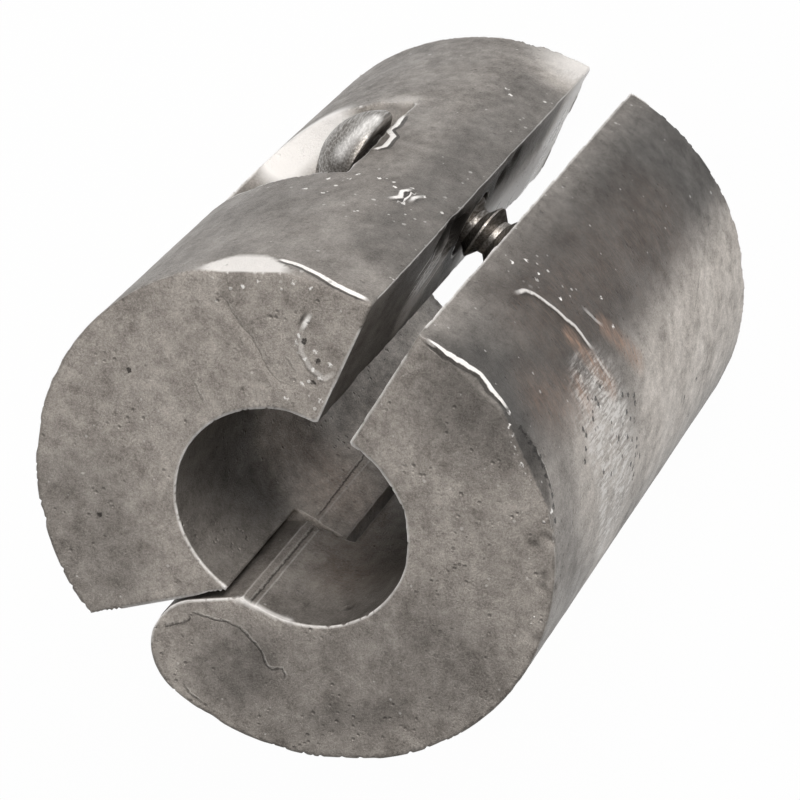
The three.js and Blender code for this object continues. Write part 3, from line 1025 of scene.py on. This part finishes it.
lead = {
    "dark": (0.106, 0.095, 0.085, 1),
    "light": (0.372, 0.346, 0.320, 1),
    # colour of the painted shade in pits, creases, nicks and beside ridges
    "shadeColour": (0.022, 0.019, 0.017, 1),
    # fresh lead, also the colour of painted highlights
    "freshLeadAndHighlight": (0.90, 0.885, 0.87, 1),
    "scraped": (0.66, 0.64, 0.62, 1),
    "copper": (0.36, 0.235, 0.170, 1),
    "skin": {"Mottle_Scale": 330.0, "Grain_Scale": 8500.0},
    "blotches": (1300, 4, 0.7),
    "mottleShare": 0.5,
    "grainShare": 0.7,
    "blotchShare": 0.5,
    "greys": (0.64, 1.06),
    "uneven": (190, 4),
    "unevenAmount": 0.25,
    "tonesAndPaintedLight": (0, 1.5, 0.25, 2.5),
    "boreArc": 14,  # radius that turns the angle round the bore into a length
    "broad": (900, 4, 0.7),
    "across": (0.22, 1.0, 1.0),  # how scratches are stretched round the wall and along it
    "along": (1.0, 1.0, 0.16),
    "scratchScale": 5200.0,
    "scrapeEdge": (0.35, 0.6),
    "scrapeGain": 2.2,
    "copperRange": (0, 1, 0.25, 0.9),
    "edgeWidth": 0.19,
    "edgeRange": (0.35, 0.65, 0.55, 1.2),
    "specks": {"Scale": 1700.0, "Share": 0.5},
    "speckShare": 0.8,
    "glints": {"Scale": 2300.0, "Share": 0.07},
    "glintShare": 0.30,
    "lipShare": 0.35,
    "beadSize": 0.17,
    "holes": {"Scale": 1900.0, "Share": 0.45},
    "pitSize": 0.20,
    "finePitShare": 0.4,
    "shadowShare": 0.8,
    "hollowShare": 0.7,
    "paintedShadeShare": 0.85,
    "roughness": (0.35, 0.65, 0.52, 0.40),
    "brightSmooth": 0.16,  # how much smoother and less metallic fresh lead and painted highlights are
    "metallic": 0.5,
    "brightMetal": 0.4,
    "shadeDip": 1.2,
    "burrHeight": 0.8,
    "bump": (0.9, 0.08),  # strength and distance
}


# The mottled grey of the casting, darkened and paled by its tone marks, which paint light, shade and
# reflection along with some tarnish.
def leadTone(tree, place, parts):
    blotches = noiseAt(tree, place, *lead["blotches"])
    mottle = times(tree, parts["Mottle"], lead["mottleShare"])
    spread = plus(tree, mottle, times(tree, parts["Grain"], lead["grainShare"]))
    spread = plus(tree, spread, times(tree, blotches, lead["blotchShare"]))
    colour = mixColour(tree, ranged(tree, spread, *lead["greys"]), lead["dark"], lead["light"])
    uneven = wavering(tree, place, lead["uneven"], lead["unevenAmount"])
    toneAndPaintedLight = ranged(tree, plus(tree, mask(tree, "toneAndPaintedLight"), uneven), *lead["tonesAndPaintedLight"])
    grey = nodeIn(tree, "ShaderNodeCombineColor", Red=toneAndPaintedLight, Green=toneAndPaintedLight, Blue=toneAndPaintedLight).outputs[0]
    return mixColour(tree, 1.0, colour, grey, "MULTIPLY")


# Arc length round the bore and height, for scratches that follow the wall.
def aroundBore(tree, place):
    split = nodeIn(tree, "ShaderNodeSeparateXYZ", Vector=place).outputs
    arc = times(tree, calc(tree, "ARCTAN2", split["Y"], split["X"]), lead["boreArc"] * mm)
    return nodeIn(tree, "ShaderNodeCombineXYZ", X=arc, Y=split["Z"]).outputs[0]


def scratchesAlong(tree, place, stretch, scale):
    return placedGroup(tree, scratches, stretched(tree, place, stretch), Scale=scale)["Streaks"]


# Scraped patches, and copper rubbed off on the wall, both broken up by scratches.
def rubbedColour(tree, place, colour, broad):
    across = scratchesAlong(tree, aroundBore(tree, place), lead["across"], lead["scratchScale"])
    along = scratchesAlong(tree, place, lead["along"], lead["scratchScale"])
    broken = times(tree, ranged(tree, broad, *lead["scrapeEdge"]), along)
    scraped = times(tree, times(tree, mask(tree, "scrapes"), broken), lead["scrapeGain"], clamp=True)
    colour = mixColour(tree, scraped, colour, lead["scraped"])
    tint = times(tree, mask(tree, "copper"), ranged(tree, across, *lead["copperRange"]), clamp=True)
    return mixColour(tree, tint, colour, lead["copper"])


def castLead():
    material, tree, shader, place = newMaterial("castLead")
    parts = placedGroup(tree, skin, place, **lead["skin"])
    broad = noiseAt(tree, place, *lead["broad"])
    colour = rubbedColour(tree, place, leadTone(tree, place, parts), broad)
    bead = placedGroup(tree, raggedSpot, place, Gap=mask(tree, "beads"), Size=lead["beadSize"])["Spot"]
    pit = placedGroup(tree, raggedSpot, place, Gap=mask(tree, "pits"), Size=lead["pitSize"])["Spot"]
    ridges = placedGroup(tree, ridgeLine, place, Gap=mask(tree, "ridges"), Strength=mask(tree, "ridgesOn"))
    creases = placedGroup(
        tree, creaseLine, place, Gap=mask(tree, "creases"), Strength=mask(tree, "creasesOn"))

    # fresh metal and painted highlights: worn edges with a painted edge highlight, burrs, loose specks and
    # glints, and the painted ridge lines, crease lips and shines
    edge = falling(tree, mask(tree, "edgeGap"), lead["edgeWidth"])
    edge = times(tree, edge, ranged(tree, broad, *lead["edgeRange"]))
    specks = times(tree, placedGroup(tree, dots, place, **lead["specks"])["Dots"], mask(tree, "speckles"))
    glints = placedGroup(tree, dots, place, **lead["glints"])["Dots"]
    bright = largest(
        tree, edge, times(tree, specks, lead["speckShare"]), bead, times(tree, glints, lead["glintShare"]),
        ridges["Line"], times(tree, creases["Lip"], lead["lipShare"]), mask(tree, "paintedShine"))
    colour = mixColour(tree, bright, colour, lead["freshLeadAndHighlight"])

    # painted shade in the pits, the creases, beside the ridges and in the sunk nicks
    holes = times(tree, placedGroup(tree, dots, place, **lead["holes"])["Dots"], mask(tree, "pitting"))
    paintedShade = largest(
        tree, times(tree, parts["Pits"], lead["finePitShare"]), holes, creases["Line"], pit,
        times(tree, ridges["Shadow"], lead["shadowShare"]),
        times(tree, mask(tree, "hollow"), lead["hollowShare"]))
    colour = mixColour(tree, times(tree, paintedShade, lead["paintedShadeShare"]), colour, lead["shadeColour"])
    rough = ranged(tree, parts["Mottle"], *lead["roughness"])
    rough = minus(tree, rough, times(tree, bright, lead["brightSmooth"]), clamp=True)
    metal = minus(tree, lead["metallic"], times(tree, bright, lead["brightMetal"]), clamp=True)
    finish(tree, shader, colour, rough, metal)
    height = minus(tree, parts["Height"], times(tree, paintedShade, lead["shadeDip"]))
    raised = times(tree, plus(tree, specks, creases["Lip"]), lead["burrHeight"])
    bumped(tree, shader, plus(tree, height, raised), *lead["bump"])
    return material


steel = {
    "bright": (0.52, 0.50, 0.475, 1),
    "dull": (0.15, 0.135, 0.12, 1),
    # colour of the painted highlight on the head
    "highlightColour": (0.92, 0.91, 0.90, 1),
    "skin": {"Mottle_Scale": 350.0, "Grain_Scale": 9000.0, "Pit_Scale": 2200.0},
    "brush": (1.0, 1.0, 0.08),
    "brushScale": 8000.0,
    "brushShare": 0.6,
    "mottleShare": 0.5,
    "wear": (0.15, 0.95),
    "paintedHighlight": (0, 1, 0.7, 1.0),
    "roughness": (0, 1, 0.46, 0.30),
    "highlightMetal": 0.75,
    "grainHeight": 0.3,
    "bump": (0.3, 0.03),
}


def platedSteel():
    material, tree, shader, place = newMaterial("platedSteel")
    parts = placedGroup(tree, skin, place, **steel["skin"])
    brushed = scratchesAlong(tree, place, steel["brush"], steel["brushScale"])
    mottle = times(tree, parts["Mottle"], steel["mottleShare"])
    worn = plus(tree, times(tree, brushed, steel["brushShare"]), mottle)
    colour = mixColour(tree, ranged(tree, worn, *steel["wear"]), steel["dull"], steel["bright"])
    # The painted highlight along the head's dome, broken up by the brushing.
    paintedHighlight = times(tree, mask(tree, "paintedShine"), ranged(tree, brushed, *steel["paintedHighlight"]), clamp=True)
    colour = mixColour(tree, paintedHighlight, colour, steel["highlightColour"])
    rough = ranged(tree, brushed, *steel["roughness"])
    finish(tree, shader, colour, rough, minus(tree, 1, times(tree, paintedHighlight, steel["highlightMetal"])))
    height = plus(tree, brushed, times(tree, parts["Grain"], steel["grainHeight"]))
    bumped(tree, shader, height, *steel["bump"])
    return material


ground = {
    "colour": (0.88, 0.88, 0.88, 1),
    "roughness": 0.9,
    "specular": 0.1,
    "glow": 1.0,
    "glowShare": 0.975,
}


# White to the camera and in reflections, with a little plain surface left for a faint shadow.
def paleGround():
    material, tree, shader, _ = newMaterial("paleGround")
    finish(tree, shader, ground["colour"], ground["roughness"], 0)
    shader.inputs["Specular IOR Level"].default_value = ground["specular"]
    glow = nodeIn(tree, "ShaderNodeEmission", Color=(1, 1, 1, 1), Strength=ground["glow"])
    path = tree.nodes.new("ShaderNodeLightPath").outputs
    looked = plus(tree, path["Is Camera Ray"], path["Is Glossy Ray"])
    seen = plus(tree, looked, path["Is Transmission Ray"], clamp=True)
    mix = nodeIn(tree, "ShaderNodeMixShader", Fac=times(tree, seen, ground["glowShare"]))
    tree.links.new(shader.outputs[0], mix.inputs[1])
    tree.links.new(glow.outputs[0], mix.inputs[2])
    output = next(node for node in tree.nodes if node.type == "OUTPUT_MATERIAL")
    tree.links.new(mix.outputs[0], output.inputs["Surface"])
    return material


leftHalf = buildCasting("leftHalf", "left_half", "left_body", leftMarks)
rightHalf = buildCasting("rightHalf", "right_half", "right_body", rightMarks)
clampScrew = buildScrew()

leadMaterial = castLead()
for piece, material in ((leftHalf, leadMaterial), (rightHalf, leadMaterial), (clampScrew, platedSteel())):
    piece.data.materials.clear()
    piece.data.materials.append(material)
print("materials made")


studio = {
    "floorSize": 3.0,  # metres
    "skyColour": (1.0, 0.985, 0.97, 1),
    "skyStrength": 0.33,
    "lampColour": (1.0, 0.965, 0.93),
    "lamps": [
        {"name": "windowLamp", "at": (330, 40, 200), "size": 160, "watts": 1.3},
        {"name": "faceLamp", "at": (-40, 45, 105), "size": 40, "watts": 0.02},
    ],
    "aim": (0, 0, 20),
}

bm = bmesh.new()
bmesh.ops.create_grid(bm, x_segments=1, y_segments=1, size=studio["floorSize"] / 2)
floor = objectFrom("floor", bm)
floor.data.materials.append(paleGround())

world = bpy.context.scene.world or bpy.data.worlds.new("studio")
bpy.context.scene.world = world
world.use_nodes = True
sky = world.node_tree.nodes["Background"]
sky.inputs["Color"].default_value = studio["skyColour"]
sky.inputs["Strength"].default_value = studio["skyStrength"]

for lamp in studio["lamps"]:
    light = bpy.data.lights.new(lamp["name"], "AREA")
    light.shape = "SQUARE"
    light.size = lamp["size"] * mm
    light.energy = lamp["watts"]
    light.color = studio["lampColour"]
    holder = bpy.data.objects.new(lamp["name"], light)
    holder.location = Vector(lamp["at"]) * mm
    holder.rotation_mode = "QUATERNION"
    towards = (Vector(studio["aim"]) - Vector(lamp["at"])).normalized()
    holder.rotation_quaternion = towards.to_track_quat("-Z", "Y")
    bpy.context.scene.collection.objects.link(holder)

view = {
    "at": (107.808, -18.825, 204.605),
    "forward": (-0.50781, 0.087, -0.85706),
    "up": (0.75237, 0.52938, -0.39205),
    "lens": 164.69,
    "sensor": 36,
    "clip": (0.01, 10),  # metres
}


def makeCamera():
    data = bpy.data.cameras.new("camera")
    data.sensor_width = view["sensor"]
    data.lens = view["lens"]
    data.clip_start, data.clip_end = view["clip"]
    camera = bpy.data.objects.new("camera", data)
    back = -Vector(view["forward"]).normalized()
    right = Vector(view["up"]).cross(back).normalized()
    up = back.cross(right)
    turned = Matrix((right, up, back)).transposed().to_4x4()
    camera.matrix_world = Matrix.Translation(Vector(view["at"]) * mm) @ turned
    bpy.context.scene.collection.objects.link(camera)
    bpy.context.scene.camera = camera


makeCamera()
bpy.context.scene.view_settings.view_transform = "Standard"
print("studio ready")
